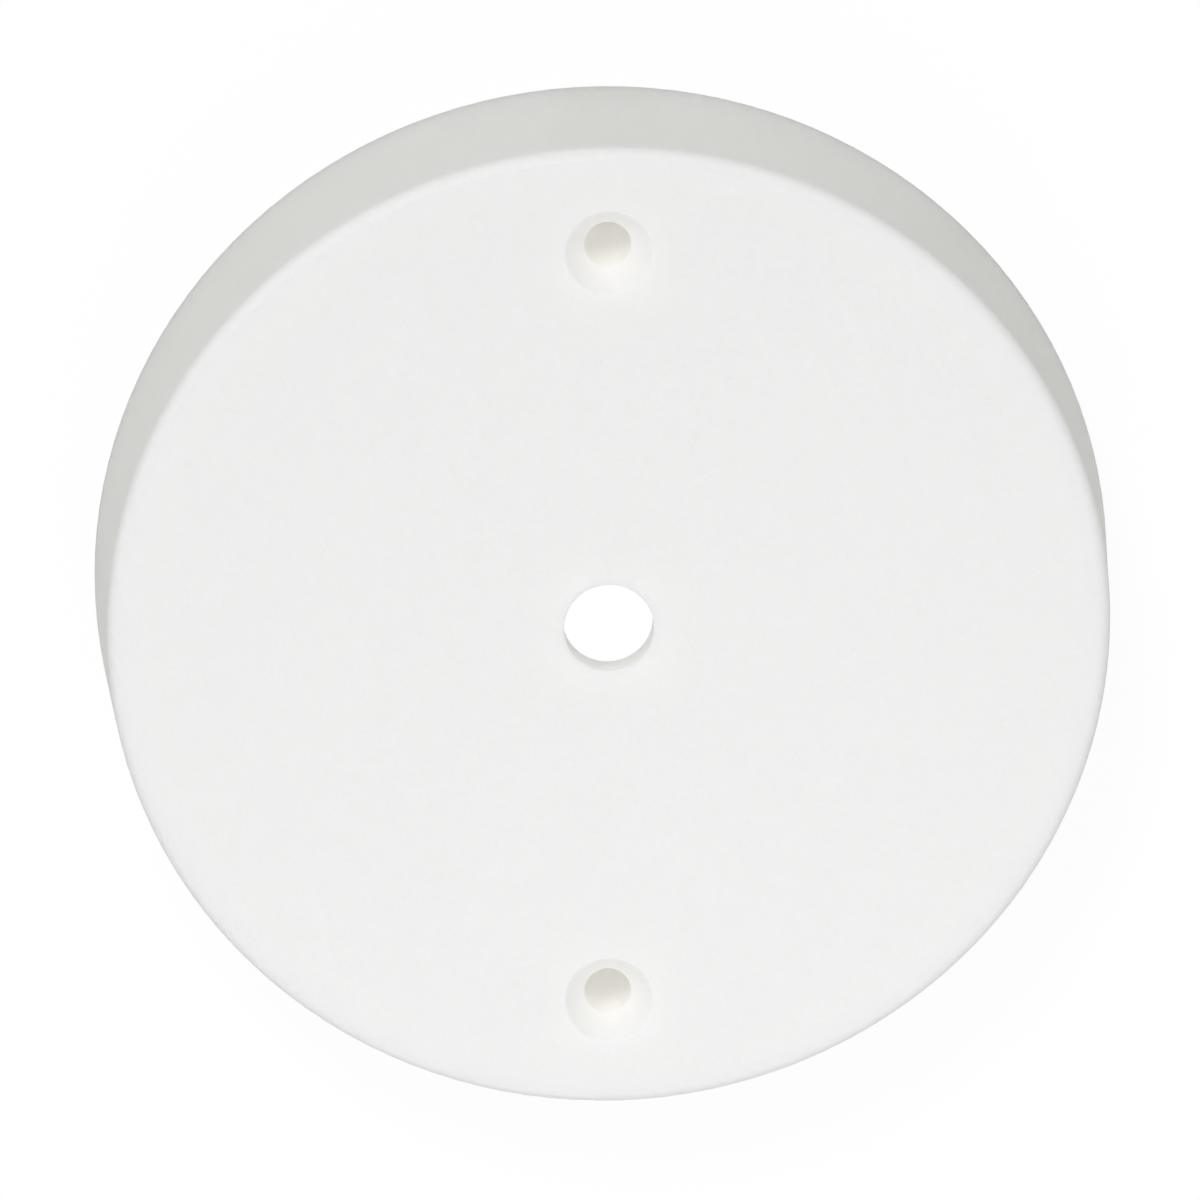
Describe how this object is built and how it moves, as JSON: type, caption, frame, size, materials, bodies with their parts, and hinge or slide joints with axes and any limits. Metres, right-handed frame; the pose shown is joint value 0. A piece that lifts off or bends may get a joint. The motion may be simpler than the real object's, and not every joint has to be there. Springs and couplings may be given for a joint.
{
  "type": "ceiling rose",
  "caption": "Shallow round plastic ceiling rose: a hollow drafted cup with a flat face, a central cord hole and dished fixing-screw seats on full-height pillars.",
  "frame": {"origin": "centre of the ceiling plane, which the rim and both pillars seat on", "axes": "+Z points out of the visible face, away from the surface the rose is fixed to, so it lies on its ceiling side; Y runs through the two fixing screws"},
  "size_m": [0.115, 0.115, 0.0214],
  "materials": {
    "white_plastic": "fine matte moulded texture"
  },
  "bodies": {
    "root": {"rose_cover": "white_plastic"}
  },
  "joints": []
}
